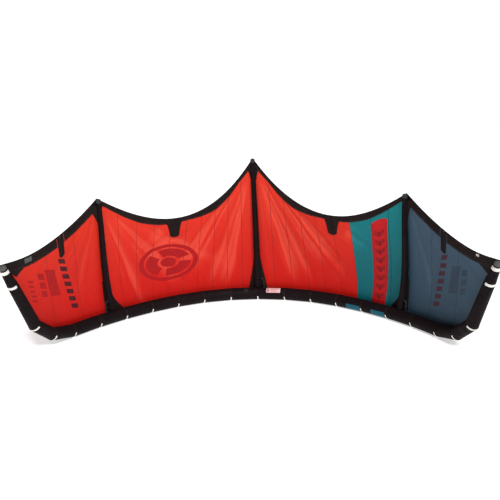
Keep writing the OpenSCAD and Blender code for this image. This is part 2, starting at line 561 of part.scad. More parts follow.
// ---- one line per node ----
color("black") left() le_sleeve(5, LE_END);  // le_sleeve_left_tip
le_sleeve_left_inner();
color("black") le_sleeve(0, 5);  // le_sleeve_right_inner
color("black") le_sleeve(5, LE_END);  // le_sleeve_right_tip
le_bladder();
left() strut_sleeve(strut_s);  // strut_sleeve_left
strut_sleeve(0);  // strut_sleeve_centre
strut_sleeve(strut_s);  // strut_sleeve_right
left() strut_bladder(strut_s);  // strut_bladder_left
strut_bladder(0);  // strut_bladder_centre
strut_bladder(strut_s);  // strut_bladder_right
left() strut_tip_cap(strut_s);  // strut_tip_cap_left
strut_tip_cap(0);  // strut_tip_cap_centre
strut_tip_cap(strut_s);  // strut_tip_cap_right
color("red") left() tip_panels();  // canopy_left_tip
color("red") left() inner_panels(LEFT_SEAMS);  // canopy_left_inner
color("red") inner_panels(RED_SEAMS);  // canopy_right_inner
color("teal") inner_panels(TEAL_SEAMS);  // canopy_teal_panels
color("slategray") tip_panels();  // canopy_right_tip
accent_stripe();
left() band(TIP_STOPS, band_tip);  // te_band_left_tip
left() band(inner_stops(LEFT_SEAMS), band_inner);  // te_band_left_inner
band(inner_stops(concat(RED_SEAMS, [for (k = [1 : 3]) TEAL_SEAMS[k]])), band_inner);  // te_band_right_inner
band(TIP_STOPS, band_tip);  // te_band_right_tip
left() batten_pocket(POCKET_TIP);  // batten_pocket_left_tip
left() batten_pocket(POCKET_INNER);  // batten_pocket_left_inner
batten_pocket(POCKET_INNER);  // batten_pocket_right_inner
batten_pocket(POCKET_TIP);  // batten_pocket_right_tip
color("white") {  // battens
  batten(POCKET_INNER);
  batten(POCKET_TIP);
  left() batten(POCKET_INNER);
  left() batten(POCKET_TIP);
}
left() tip_patch();  // tip_patch_left
tip_patch();  // tip_patch_right
left() strut_gusset_side();  // strut_gusset_left
strut_gusset_centre();
strut_gusset_side();  // strut_gusset_right
seam_guards();
tip_webbing();
left() tip_end_cap();  // tip_end_cap_left
tip_end_cap();  // tip_end_cap_right
valve_saddle();
valve_body();
valve_flap();
valve_cap();
valve_cap_pin();
left() hose(strut_s);  // hose_left
hose(0);  // hose_centre
hose(strut_s);  // hose_right
color("gray") {  // hose_fittings
  hose_fitting(0, 0);
  hose_fitting(strut_s, 5);
  left() hose_fitting(strut_s, 5);
}
left() clip_body(strut_s);  // clip_body_left
clip_body(0);  // clip_body_centre
clip_body(strut_s);  // clip_body_right
left() clip_jaw(strut_s);  // clip_jaw_left
clip_jaw(0);  // clip_jaw_centre
clip_jaw(strut_s);  // clip_jaw_right
care_label();
edge_patches();
left() web_loop(0, 0.8, [0, 0, 1], 1);  // pump_leash_loop
left() tip_loops();  // tip_loops_left
tip_loops();  // tip_loops_right
bridle_tabs();
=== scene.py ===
import math

import bpy
import numpy as np
from mathutils import Matrix, Vector


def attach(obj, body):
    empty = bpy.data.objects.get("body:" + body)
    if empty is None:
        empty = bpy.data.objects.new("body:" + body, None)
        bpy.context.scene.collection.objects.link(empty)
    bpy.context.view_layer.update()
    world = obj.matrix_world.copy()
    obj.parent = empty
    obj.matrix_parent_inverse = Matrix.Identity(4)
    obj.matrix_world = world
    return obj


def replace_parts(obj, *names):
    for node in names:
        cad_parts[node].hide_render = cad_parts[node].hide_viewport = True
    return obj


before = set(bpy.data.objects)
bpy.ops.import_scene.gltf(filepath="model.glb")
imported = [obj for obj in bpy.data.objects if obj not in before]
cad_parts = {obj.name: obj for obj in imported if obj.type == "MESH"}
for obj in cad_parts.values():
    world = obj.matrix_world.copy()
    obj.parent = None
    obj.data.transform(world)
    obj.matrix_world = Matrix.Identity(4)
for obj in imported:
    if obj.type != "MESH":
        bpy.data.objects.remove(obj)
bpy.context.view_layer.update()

# ---- camera ----
CAMERA_PLACE = np.array([0.5593, -7.8152, 2.9585])
CAMERA_YAW, CAMERA_PITCH, CAMERA_ROLL = -0.07334, 0.23261, -0.02792
CAMERA_LENS_MM = 43.2
SENSOR_MM = 36.0


def camera_axes(yaw, pitch, roll):
    """Right, up and forward of a camera that looks along +Y, then is turned right, down and rolled."""
    forward = np.array([math.sin(yaw) * math.cos(pitch), math.cos(yaw) * math.cos(pitch), -math.sin(pitch)])
    right = np.array([math.cos(yaw), -math.sin(yaw), 0.0])
    up = np.cross(right, forward)
    c, s = math.cos(roll), math.sin(roll)
    return right * c + up * s, up * c - right * s, forward


def make_camera():
    data = bpy.data.cameras.new("camera")
    data.lens, data.sensor_width = CAMERA_LENS_MM, SENSOR_MM
    data.clip_end = 200.0
    camera = bpy.data.objects.new("camera", data)
    bpy.context.scene.collection.objects.link(camera)
    right, up, forward = camera_axes(CAMERA_YAW, CAMERA_PITCH, CAMERA_ROLL)
    m = np.eye(4)
    m[:3, 0], m[:3, 1], m[:3, 2], m[:3, 3] = right, up, -forward, CAMERA_PLACE
    camera.matrix_world = Matrix(m.tolist())
    bpy.context.scene.camera = camera


make_camera()

# ---- the wing's layout, as in the CAD part ----
SEAM = 0.436          # spacing of the leading edge's seams
GROUND_S = 7 * SEAM   # span position where the tube leaves the ground
ARC_R_CENTRE, ARC_R_TIP = 2.255, 3.900   # bend radii of the wing's plan
LEAN = math.radians(12)                  # lean of the chord towards the hollow side
STRUT_S = 2.325                          # span position of a side strut
CHORD_CENTRE, CHORD_SIDE, TIP_CHORD = 2.310, 1.895, 1.290
SCALLOP_INNER, SCALLOP_TIP = 0.640, 0.165   # dips of the trailing edge between its peaks
CAMBER = 0.04        # as a share of the chord
TIP_S = 3.865        # span position of the tip's end
LIFT = 0.0017        # height of the tube's underside over the ground
CLOTH_GAP, STRUT_GAP = 0.003, 0.006
DEPTH_SHIFT = 1.2766   # puts the middle of the wing's depth at y = 0
# Span and chord positions of the tube's middle where it turns up into the tip
TIP_PATH = np.array([[3.358, 0.157], [3.595, 0.380], [3.785, 1.010], [3.853, 1.213], [3.865, 1.255]])
# Radii of the leading edge tube at its seams
LE_RADII = ([0, 7, 8, 9, 10, 11, 12], [0.093, 0.085, 0.082, 0.078, 0.064, 0.046, 0.040])
FIRST_TIP_SEAM, LE_END = 8, 12   # the first seam off the ground, and the last ring of the tube
TIP_SLEEVE_FROM = 5              # the seam where the inner and the tip sleeves meet
STRUT_R_FRONT, STRUT_R_BACK = 0.056, 0.031
PANELS = 10
TEAL_FROM = 6.72   # where the teal panels start, in panels of the left bay
RIGHT_SEAMS = [k * TEAL_FROM / 6 for k in range(7)] + [8, 9, 10]
SEAM_LEAN = 0.150   # how far a cloth seam leans to the centre at the trailing edge
# Lower and upper span positions of the tip's cloth seams, with the strut and the tip's end
TIP_SEAMS = [(STRUT_S, STRUT_S), (2.758, 2.748), (3.196, 3.205), (3.595, TIP_S)]
ARC_SWITCH = 3 * SEAM
TURN_SWITCH = ARC_SWITCH / ARC_R_CENTRE
CHORD_DIR = np.array([0, -math.sin(LEAN), math.cos(LEAN)])


def unit(v):
    return v / np.linalg.norm(v, axis=-1, keepdims=True)


def lerp(a, b, t):
    return a + (b - a) * t


def smooth(x, a, b):
    """0 below a, 1 above b, with a soft step between."""
    t = np.clip((x - a) / (b - a), 0, 1)
    return t * t * (3 - 2 * t)


def heading(s):
    a = np.abs(s)
    return np.sign(s) * np.where(a < ARC_SWITCH, a / ARC_R_CENTRE, TURN_SWITCH + (a - ARC_SWITCH) / ARC_R_TIP)


def plan(s):
    a, t = np.abs(s), np.abs(heading(s))
    x = np.where(a < ARC_SWITCH, ARC_R_CENTRE * np.sin(t),
                 ARC_R_CENTRE * np.sin(TURN_SWITCH) + ARC_R_TIP * (np.sin(t) - np.sin(TURN_SWITCH)))
    y = np.where(a < ARC_SWITCH, ARC_R_CENTRE * (np.cos(t) - 1),
                 ARC_R_CENTRE * (np.cos(TURN_SWITCH) - 1) + ARC_R_TIP * (np.cos(t) - np.cos(TURN_SWITCH)))
    return np.sign(s) * x, y + DEPTH_SHIFT


def out_dir(s):
    t = heading(s)
    across, away, up = math.cos(LEAN) * np.sin(t), math.cos(LEAN) * np.cos(t), math.sin(LEAN) * np.cos(t)
    return unit(np.stack([across, away, up], -1))


def span_dir(s):
    return np.cross(out_dir(s), CHORD_DIR)


def at(s, h, n):
    s, h, n = np.broadcast_arrays(np.asarray(s, float), h, n)
    x, y = plan(s)
    return np.stack([x, y, np.full_like(x, LIFT)], -1) + h[..., None] * CHORD_DIR + n[..., None] * out_dir(s)


def te_h(s):
    """Chord position of the trailing edge."""
    a = np.abs(s)
    t, u = a / STRUT_S, (a - STRUT_S) / (TIP_S - STRUT_S)
    inner = lerp(CHORD_CENTRE, CHORD_SIDE, t) - 4 * SCALLOP_INNER * t * (1 - t) * (1 + 0.45 * (0.5 - t))
    return np.where(a <= STRUT_S, inner, lerp(CHORD_SIDE, TIP_CHORD, u) - 4 * SCALLOP_TIP * u * (1 - u))


def le_r(i):
    return np.interp(i, *LE_RADII)


def tube_sag(s):
    """How far the straight tube between two seams lies inside the arc."""
    a = np.abs(s)
    f = a / SEAM - np.floor(a / SEAM)
    radius = np.where(a < ARC_SWITCH, ARC_R_CENTRE, ARC_R_TIP)
    return np.where(a > GROUND_S, 0, SEAM * SEAM / (2 * radius) * f * (1 - f))


def low_h(s):
    """Lower edge of the cloth, on the tube's middle line."""
    a, top = np.abs(s), TIP_PATH[1, 0]
    stations, heights = [GROUND_S, TIP_PATH[0, 0], top], [le_r(7), TIP_PATH[0, 1], TIP_PATH[1, 1]]
    tip = np.interp(np.minimum(a, top), stations, heights)
    return np.where(a <= GROUND_S, np.interp(a / SEAM, [0, 7], [le_r(0), le_r(7)]), tip)


def tube_n(s):
    """Distance of the tube's middle line over the arc."""
    a = np.abs(s)
    tip = np.interp(a, [GROUND_S, TIP_PATH[0, 0]], [le_r(7) * out_dir(GROUND_S)[2], 0])
    return np.where(a <= GROUND_S, le_r(a / SEAM) * out_dir(a)[..., 2] - tube_sag(a), tip)


def v_of(s, h):
    return np.clip((h - low_h(s)) / (te_h(s) - low_h(s)), 0, 1)


def cloth_n(s, h):
    """Height of the cloth over the arc."""
    a = np.abs(s)
    v = v_of(s, h)
    bump = v * (1 - v) ** 2 / 0.148
    fade = np.clip((TIP_S - a) / (TIP_S - STRUT_S), 0, 1)
    edge = tube_n(a) + 0.5 * tube_sag(a) + le_r(np.minimum(a / SEAM, 9)) + CLOTH_GAP
    plain = edge * (1 - v) + CAMBER * te_h(a) * bump * fade
    to_tube = np.maximum(0, lerp(TIP_PATH[1, 0], TIP_S, v) - a - 0.012)
    tip_tube_r = np.interp(h, TIP_PATH[1:, 1], le_r(np.arange(9, LE_END + 1)))
    return lerp(plain, tip_tube_r + CLOTH_GAP + 0.001, np.exp(-(to_tube / 0.25) ** 2))


def seam_s(k, v):
    """Span position of cloth seam k between the centre and a side strut, going up with v."""
    return k * STRUT_S / PANELS - SEAM_LEAN * math.sin(math.pi * k / PANELS) * v


def tip_seam_s(k, v):
    return lerp(TIP_SEAMS[k][0], TIP_SEAMS[k][1], v)


# ---- slack folds of the cloth ----
# Batten pockets: span position, length, half widths at the edge and at the point
POCKET_INNER = (1.205, 0.290, 0.150, 0.066)
POCKET_TIP = (2.955, 0.290, 0.048, 0.042)
FOLD_HEIGHT = 0.030   # height of the largest folds, and what counts as a full ridge
POCKET_SHIFT = {-1: 0.012, 1: -0.036}   # how far along the span an inner pocket's cloth is from its batten


def fan(s, h, origin, spread, pitch, reach, phase):
    """Folds that run out of a corner of the cloth like the ribs of a fan, from 0 to 1 high."""
    ds, dh = np.abs(s) - origin[0], origin[1] - h
    angle = np.degrees(np.arctan2(np.abs(ds), np.maximum(dh, 1e-6)))
    rho = np.hypot(ds, dh)
    wander = 0.10 * np.sin(rho * 4.1 + phase)
    turn = np.pi * (angle / pitch + wander + 0.03 * np.sin(rho * 13 + angle) + phase)
    ribs = 0.72 * np.sqrt(np.sin(turn) ** 2 + 0.008) + 0.28 * (0.5 + 0.5 * np.cos(3.4 * turn))
    ribs = ribs * (0.62 + 0.38 * np.sin(angle * 0.37 + phase * 3.0))
    inside = smooth(angle, spread[0], spread[0] + 4) * (1 - smooth(angle, spread[1] - 14, spread[1]))
    along = smooth(rho, 0.1, 0.5) * (1 - smooth(rho, reach * 0.55, reach))
    return ribs * inside * along


def ripples(s, h, seed):
    """Faint uneven waves, from about -1 to 1."""
    rng = np.random.RandomState(seed)
    total = np.zeros(np.broadcast(s, h).shape)
    for _ in range(9):
        a, k, p = rng.uniform(0, math.pi), rng.uniform(3, 11), rng.uniform(0, 6.28)
        total = total + np.sin(k * (s * math.cos(a) + h * math.sin(a)) + p) / (1 + 0.25 * k)
    return total


def panel_share(s, h):
    """How far across its own panel a point is, from 0 to 1."""
    a, v = np.abs(s), v_of(s, h)
    lean = SEAM_LEAN * np.sin(np.pi * np.clip(a / STRUT_S, 0, 1)) * v
    inner = np.clip((a + lean) * PANELS / STRUT_S, 0, PANELS)
    tip = np.interp(a, [q[0] for q in TIP_SEAMS], range(4))
    inner = np.where(s < 0, inner, np.interp(inner, RIGHT_SEAMS, range(10)))
    return np.where(a < STRUT_S, inner, tip) % 1.0


def folds(s, h):
    """Height of the cloth's folds, outwards."""
    s, h = np.broadcast_arrays(np.asarray(s, float), h)
    a = np.abs(s)
    v = v_of(s, h)
    side = np.where(s < 0, 1.0, 0.0)
    top, outer = (0.0, CHORD_CENTRE + 0.02), (STRUT_S, CHORD_SIDE + 0.05)
    inner_bay = a < STRUT_S
    f = FOLD_HEIGHT * fan(s, h, top, (2, 66), 7.1, 2.6, 0.3 + 0.4 * side)
    f = f + 0.014 * fan(s, h, top, (8, 70), 3.3, 2.4, 0.8)
    f = f + (0.008 + 0.018 * side) * fan(s, h, outer, (8, 66), 9.0, 2.4, 0.2 + 0.3 * side)
    f = np.where(inner_bay, f, 0.016 * fan(s, h, outer, (6, 66), 9.0, 1.9, 0.5))
    f = f + 0.0022 * ripples(s, h, 5) + 0.0012 * ripples(s * 2.3, h * 1.1, 8)
    f = f - 0.0035 * np.sin(np.pi * panel_share(s, h)) ** 0.8
    to_strut = np.minimum(a, np.abs(a - STRUT_S))
    up = h - te_h(s) + 0.12   # up the chord from the middle of a pocket
    to_pocket = np.minimum(np.hypot(a - POCKET_INNER[0], up), np.hypot(a - POCKET_TIP[0], up))
    calm = smooth(to_strut, 0.05, 0.15) * smooth(v, 0.0, 0.07) * smooth(to_pocket, 0.16, 0.26)
    calm = calm * smooth(te_h(s) - h, 0.07, 0.22)
    return f * calm * (0.5 + 0.5 * (1 - v) ** 0.5) * smooth(TIP_S - 0.02 - a, 0.0, 0.3)


def on_cloth(s, h, lift=0.0):
    """A point at that distance off the cloth, on its hollow side."""
    return at(s, h, cloth_n(s, h) + folds(s, h) - lift)


# ---- meshes ----
LOOKS = {}   # every material by its name here


def piece(name, grids, look, thickness=None):
    """One mesh from grids of points, given a thickness about its surface if it is cloth."""
    points, faces, uvs, base = [], [], [], 0
    for p, uv in grids:
        rows, cols = p.shape[:2]
        i, j = np.meshgrid(np.arange(rows - 1), np.arange(cols - 1), indexing="ij")
        corners = [(i, j), (i, j + 1), (i + 1, j + 1), (i + 1, j)]
        faces.append(np.stack([base + a * cols + b for a, b in corners], -1).reshape(-1, 4))
        uvs.append(np.stack([uv[a, b] for a, b in corners], -2).reshape(-1, 2))
        points.append(p.reshape(-1, 3))
        base += rows * cols
    mesh = bpy.data.meshes.new(name)
    mesh.from_pydata(np.concatenate(points).tolist(), [], np.concatenate(faces).tolist())
    mesh.uv_layers.new(name="UVMap").data.foreach_set("uv", np.concatenate(uvs).ravel())
    mesh.shade_smooth()
    mesh.materials.append(LOOKS[look])
    obj = bpy.data.objects.new(name, mesh)
    bpy.context.scene.collection.objects.link(obj)
    weld = obj.modifiers.new("weld", "WELD")
    weld.merge_threshold = 1e-5
    if thickness:
        solid = obj.modifiers.new("thickness", "SOLIDIFY")
        solid.thickness, solid.offset = thickness, 0.0
    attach(obj, "wing")
    return obj


# ---- materials ----
class Shader:
    """A fabric or plastic made from nodes. u and v are the piece's own UVs in metres."""

    def __init__(self, name, **sockets):
        LOOKS[name] = self.material = bpy.data.materials.new("look_" + name)
        self.material.use_nodes = True
        self.tree = self.material.node_tree
        self.surface = self.tree.nodes["Principled BSDF"]
        for socket, value in sockets.items():
            self.surface.inputs[socket.replace("_", " ")].default_value = value
        self.place = self.node("ShaderNodeTexCoord")
        parts = self.node("ShaderNodeSeparateXYZ", self.place.outputs["UV"])
        self.u, self.v = parts.outputs[0], parts.outputs[1]
        self.normal = None

    def node(self, kind, *inputs, **settings):
        made = self.tree.nodes.new(kind)
        for key, value in settings.items():
            setattr(made, key, value)
        for k, value in enumerate(inputs):
            self.put(made.inputs[k], value)
        return made

    def put(self, socket, value):
        if isinstance(value, bpy.types.NodeSocket):
            self.tree.links.new(value, socket)
        elif value is not None:
            socket.default_value = value

    def math(self, operation, *inputs):
        return self.node("ShaderNodeMath", *inputs, operation=operation).outputs[0]

    def step(self, value, low, high, to_low=0.0, to_high=1.0):
        inputs = (value, low, high, to_low, to_high)
        return self.node("ShaderNodeMapRange", *inputs, interpolation_type="SMOOTHSTEP").outputs[0]

    def mix(self, share, a, b):
        made = self.node("ShaderNodeMix", data_type="RGBA")
        for socket, value in zip((made.inputs[0], made.inputs[6], made.inputs[7]), (share, a, b)):
            self.put(socket, value)
        return made.outputs[2]

    def noise(self, scale, detail=3.0, stretch=(1, 1, 1), twist=0.0):
        mapping = self.node("ShaderNodeMapping", self.place.outputs["Object"])
        mapping.inputs["Scale"].default_value = stretch
        made = self.node("ShaderNodeTexNoise", mapping.outputs[0])
        for key, value in (("Scale", scale), ("Detail", detail), ("Distortion", twist)):
            made.inputs[key].default_value = value
        return made.outputs[0]

    def cells(self, scale, stretch):
        """Distance to the edges of irregular cells."""
        mapping = self.node("ShaderNodeMapping", self.place.outputs["Object"])
        mapping.inputs["Scale"].default_value = stretch
        made = self.node("ShaderNodeTexVoronoi", mapping.outputs[0], feature="DISTANCE_TO_EDGE")
        made.inputs["Scale"].default_value = scale
        return made.outputs[0]

    def threads(self, coordinate, pitch, share):
        """1 on lines that repeat each pitch and take that share of it, 0 between them."""
        turn = self.math("PINGPONG", coordinate, pitch / 2)
        return self.step(turn, pitch * share * 0.35, pitch * share * 0.65, 1.0, 0.0)

    def bump(self, height, distance, strength=1.0):
        made = self.node("ShaderNodeBump")
        made.inputs["Strength"].default_value = strength
        made.inputs["Distance"].default_value = distance
        self.put(made.inputs["Height"], height)
        self.put(made.inputs["Normal"], self.normal)
        self.normal = made.outputs[0]

    def finish(self, colour, roughness):
        self.put(self.surface.inputs["Base Color"], colour)
        self.put(self.surface.inputs["Roughness"], roughness)
        self.put(self.surface.inputs["Normal"], self.normal)


def srgb(code, gain=1.0):
    """A linear colour from an sRGB code such as C41E18."""
    c = np.array([int(code[k:k + 2], 16) for k in (0, 2, 4)]) / 255
    c = np.where(c <= 0.04045, c / 12.92, ((c + 0.055) / 1.055) ** 2.4) * gain
    return (*c.tolist(), 1.0)


def ripstop(name, low, high, sheen=0.01, ridge_highlight=None):
    """Light canopy cloth: a square grid of thicker threads and faint creases, with painted light that makes
    it lighter up the chord and a painted highlight on the ridges of its folds.
    """
    m = Shader(name, Sheen_Weight=sheen, Sheen_Roughness=0.4, Specular_IOR_Level=0.14)
    # Painted light: the cloth is darker low down and lighter up the chord, as the light from above falls on
    # it.
    tone = m.mix(m.step(m.v, 0.15, 2.1), srgb(low), srgb(high))
    tone = m.mix(m.step(m.noise(1.1, 4, twist=0.6), 0.35, 0.7, 0.0, 0.16), tone, srgb(low, 0.72))
    # Painted highlight: the ridges of the folds are lightened, as if they caught the light.
    if ridge_highlight:
        ridge = m.node("ShaderNodeAttribute", attribute_name="ridge").outputs["Fac"]
        tone = m.mix(m.step(ridge, 0.08, 0.72, 0.0, 0.42), tone, srgb(ridge_highlight))
    net = m.math("MAXIMUM", m.threads(m.u, 0.0065, 0.12), m.threads(m.v, 0.0065, 0.12))
    tone = m.mix(m.math("MULTIPLY", net, 0.22), tone, srgb(low, 0.6))
    crease = m.step(m.cells(5.5, stretch=(1.0, 1.0, 0.55)), 0.0, 0.035, 1.0, 0.0)
    crease = m.math("MULTIPLY", crease, m.step(m.noise(2.3, 2), 0.48, 0.66))
    tone = m.mix(m.math("MULTIPLY", crease, 0.14), tone, srgb(high, 1.1))
    m.bump(m.noise(7.0, 5, stretch=(1, 1, 0.6), twist=0.8), 0.012, 0.35)
    m.bump(crease, 0.0015, 0.5)
    m.bump(net, 0.0002, 0.35)
    m.finish(tone, m.step(m.noise(9.0, 3), 0.2, 0.8, 0.50, 0.62))


def woven(name, colour, wear, weave=0.0018, roughness=(0.5, 0.72), wear_share=0.2, sheen=0.04,
          wrinkle=0.004, gloss=0.16):
    """Heavy woven cloth with a visible weave, small wrinkles and worn patches."""
    m = Shader(name, Sheen_Weight=sheen, Sheen_Roughness=0.5, Specular_IOR_Level=gloss)
    warp, weft = m.threads(m.u, weave, 0.5), m.threads(m.v, weave, 0.5)
    cloth = m.math("MULTIPLY", warp, weft)
    tone = m.mix(m.step(m.noise(3.2, 4), 0.3, 0.75, 0.0, wear_share), srgb(colour), srgb(wear))
    rub = m.math("MULTIPLY", m.step(m.noise(14.0, 5, twist=1.0), 0.6, 0.78), wear_share)
    tone = m.mix(rub, tone, srgb(wear, 1.4))
    tone = m.mix(m.math("MULTIPLY", cloth, 0.25), tone, srgb(wear))
    m.bump(m.noise(16.0, 4, twist=0.7), wrinkle, 0.4)
    m.bump(cloth, 0.0002, 0.5)
    m.finish(tone, m.step(m.noise(11.0, 3), 0.25, 0.75, *roughness))


def moulded(name, colour, roughness=(0.35, 0.55), grain=0.0004, **sockets):
    """Moulded plastic or rubber with a fine grain and a few lighter scuffs."""
    m = Shader(name, **sockets)
    scuff = m.step(m.noise(180.0, 6, twist=2.0), 0.62, 0.75, 0.0, 0.35)
    tone = m.mix(m.step(m.noise(40.0, 3), 0.3, 0.7, 0.0, 0.2), srgb(colour), srgb(colour, 0.7))
    tone = m.mix(scuff, tone, srgb(colour, 1.8))
    m.bump(m.noise(900.0, 2), grain, 0.4)
    m.finish(tone, m.step(m.noise(60.0, 3), 0.3, 0.7, *roughness))


# Each ripstop's first colour is its painted shade low down and its second is its painted lit tone up the
# chord; a third colour, where given, is a painted highlight on the fold ridges.
ripstop("ripstop_red", "C8170F", "E43824", ridge_highlight="F2624C")
ripstop("ripstop_teal", "086870", "0A868C", ridge_highlight="28A2A8")
ripstop("ripstop_slate", "354E60", "435C6F", ridge_highlight="6A8394")
ripstop("print_red", "BE141A", "CC1C20")
ripstop("print_maroon", "48141A", "521A20", 0.05)
ripstop("print_deep_red", "A61216", "B2181A", 0.03)
ripstop("print_wine", "96141A", "A0181E", 0.01)
ripstop("print_plum", "40232F", "4A2836", 0.03)
ripstop("print_slate_deep", "2E4152", "33485A", 0.05)
ripstop("tape_red", "A01C17", "B82A1F", 0.05)
ripstop("tape_teal", "0C4E54", "0F5C62", 0.05)
ripstop("tape_slate", "2C3E4C", "32465A", 0.05)
woven("dacron_black", "130D0F", "241C1F", sheen=0.004, gloss=0.06)
woven("reinforcement_black", "1C1514", "302827", 0.0026, wear_share=0.25, sheen=0.004, gloss=0.06)
woven("cap_charcoal", "2C2C2E", "48484A", 0.0024, (0.6, 0.8), 0.35, 0.02, 0.002)
woven("webbing_white", "F0EEE8", "CFCBC0", 0.0022, (0.6, 0.8), 0.3, 0.04, 0.001)
woven("webbing_black", "161415", "2A2829", 0.0016, (0.6, 0.8), 0.3, 0.004, 0.001, 0.06)
woven("fabric_grey", "4C4E4E", "6C6D6C", 0.0024, (0.6, 0.8), 0.35, 0.04, 0.002)
woven("label_pink", "E6C4C4", "D6ABAD", 0.0012, (0.55, 0.7), 0.2, 0.04, 0.001)
woven("label_ink", "A8656B", "B87B80", 0.0012, (0.55, 0.7), 0.2, 0.04, 0.001)
woven("label_light", "D9D5CE", "B3AFA8", 0.0012, (0.55, 0.7), 0.2, 0.04, 0.001)
woven("patch_teal", "0D5263", "176676", 0.0022, (0.55, 0.75), 0.3, 0.04, 0.002)
woven("stitch_light", "544C4C", "6A6263", 0.0012, (0.6, 0.8), 0.2, 0.01, 0.001, 0.06)
woven("stitch_grey", "322B2C", "4A4344", 0.0012, (0.6, 0.8), 0.2, 0.01, 0.001, 0.06)
moulded("bladder_film", "D8DCE0", (0.2, 0.35))
moulded("batten_white", "E0E0DA")
moulded("rubber_black", "19191B", (0.6, 0.8), 0.0008, Specular_IOR_Level=0.2)
moulded("plastic_grey", "2C2C2F", Specular_IOR_Level=0.2)
moulded("plastic_dark", "18181A", Specular_IOR_Level=0.2)
moulded("flap_silicone", "C9C9C4", (0.5, 0.7))
moulded("pin_steel", "C8C9CC", (0.25, 0.4), 0.0002, Metallic=1.0)
moulded("hose_clear", "1E1F21", (0.35, 0.5), 0.0003, Transmission_Weight=0.1, Specular_IOR_Level=0.25)


# ---- canopy sheets ----
FABRIC = 0.0008        # thickness of a sewn-on piece
# How far each layer lies off the cloth
PRINT_LIFT, MARK_LIFT, PATCH_LIFT, STITCH_LIFT = 0.0016, 0.0028, 0.0022, 0.0036
POCKET_LIFT, PIPING_LIFT, LABEL_LIFT = 0.0042, 0.0068, 0.0072
# Width of the trailing edge band, square to the edge, at span positions from the centre to the tip
BAND_WIDTHS = ([0, 0.22, 0.36, 0.58, 0.8, 1.0, 1.2, 1.45, 1.72, 2.0, 2.2, 2.3, 2.35, 3.0, 3.9],
               [0.055, 0.050, 0.085, 0.115, 0.094, 0.072, 0.080, 0.102, 0.108, 0.084, 0.064, 0.062,
                0.105, 0.127, 0.135])


def band_h(s):
    """The band's width measured up the chord."""
    slope = (te_h(s + 0.01) - te_h(s - 0.01)) / 0.02
    return np.interp(s, *BAND_WIDTHS) * np.minimum(np.sqrt(1 + slope ** 2), 1.7)


BOUNDS = {   # where each sheet lies: its side, its lower and upper edges' first and last span positions
    "canopy_left_tip": (-1, TIP_SEAMS[0], TIP_SEAMS[3]),
    "canopy_left_inner": (-1, (seam_s(0, 0), seam_s(0, 1)), (seam_s(10, 0), seam_s(10, 1))),
    "canopy_right_inner": (1, (seam_s(0, 0), seam_s(0, 1)), (seam_s(TEAL_FROM, 0), seam_s(TEAL_FROM, 1))),
    "canopy_teal_panels": (1, (seam_s(TEAL_FROM, 0), seam_s(TEAL_FROM, 1)), (seam_s(10, 0), seam_s(10, 1))),
    "canopy_right_tip": (1, TIP_SEAMS[0], TIP_SEAMS[3]),
}


def panel_point(side, low_s, high_s, u, v):
    """Span and chord position on a cloth piece, u across it and v up it, both from 0 to 1."""
    s0, s1 = lerp(low_s[0], high_s[0], u), lerp(low_s[1], high_s[1], u)
    s, h = lerp(s0, s1, v), lerp(low_h(s0), te_h(s1) - 0.5 * band_h(s1), v)
    return side * s, h


def flat_area(s, h):
    """Area of a cloth piece before it is bent, from its grid of span and chord positions."""
    a, b, c, d = (np.stack([s[i, j], h[i, j]], -1) for i, j in (
        (slice(None, -1), slice(None, -1)), (slice(1, None), slice(None, -1)),
        (slice(1, None), slice(1, None)), (slice(None, -1), slice(1, None))))
    p, q = c - a, d - b
    return float(np.abs(p[..., 0] * q[..., 1] - p[..., 1] * q[..., 0]).sum() / 2)


def make_canopy():
    colours = {"canopy_teal_panels": "ripstop_teal", "canopy_right_tip": "ripstop_slate"}
    made = {}
    for name, (side, low_s, high_s) in BOUNDS.items():
        rows, cols = np.linspace(0, 1, 161), np.linspace(0, 1, 201 if "inner" in name else 101)
        v, u = np.meshgrid(rows, cols, indexing="ij")
        s, h = panel_point(side, low_s, high_s, u, v)
        obj = piece(name + "_cloth", [(on_cloth(s, h), np.stack([s, h], -1))],
                    colours.get(name, "ripstop_red"), 0.0006)
        # The height of the folds, which the cloth's material uses to paint highlights on the ridges.
        ridge = obj.data.attributes.new("ridge", "FLOAT", "POINT")
        ridge.data.foreach_set("value", (folds(s, h) / FOLD_HEIGHT).ravel())
        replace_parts(obj, name)
        made[name] = obj, np.ptp(s), np.ptp(h), flat_area(s, h)
    return made


CANOPY = make_canopy()


# ---- seams, prints and patches on the cloth ----
def cloth_line(side, s_of, width):
    """A strip up the cloth along s_of(v), where v runs up the chord."""
    v, w = np.meshgrid(np.linspace(0.02, 1, 90), np.array([-0.5, 0, 0.5]) * width, indexing="ij")
    h = lerp(low_h(s_of(0.0)), te_h(s_of(1.0)) - 0.6 * band_h(s_of(1.0)), v)
    return on_cloth(side * (s_of(v) + w), h), np.stack([w, h], -1)


INNER_SEAMS = {"canopy_left_inner": range(1, PANELS), "canopy_right_inner": RIGHT_SEAMS[1:7],
               "canopy_teal_panels": RIGHT_SEAMS[7:9]}


def make_seams():
    for name, (side, _, _) in BOUNDS.items():
        colour = {"canopy_teal_panels": "tape_teal", "canopy_right_tip": "tape_slate"}.get(name, "tape_red")
        if "tip" in name:
            lines = [lambda v, k=k: tip_seam_s(k, v) for k in (1, 2)]
        else:
            lines = [lambda v, k=k: seam_s(k, v) for k in INNER_SEAMS[name]]
        piece(name + "_seams", [cloth_line(side, line, 0.008) for line in lines], colour, 0.0022)


def patch(s, h, lift):
    """A printed or sewn patch from a grid of span and chord positions."""
    return on_cloth(s, h, lift), np.stack(np.broadcast_arrays(s, h), -1)


def four_sided(corners, rows, cols, lift):
    """A patch between four corners of span and chord position, in order round it."""
    v, u = np.meshgrid(np.linspace(0, 1, rows), np.linspace(0, 1, cols), indexing="ij")
    a, b, c, d = (np.array(q, float) for q in corners)
    q = lerp(lerp(a, b, u[..., None]), lerp(d, c, u[..., None]), v[..., None])
    return patch(q[..., 0], q[..., 1], lift)


def printed(s, h, lift=PRINT_LIFT):
    """A print that shows on both sides of the thin cloth."""
    return [patch(s, h, lift), patch(s, h, -lift)]


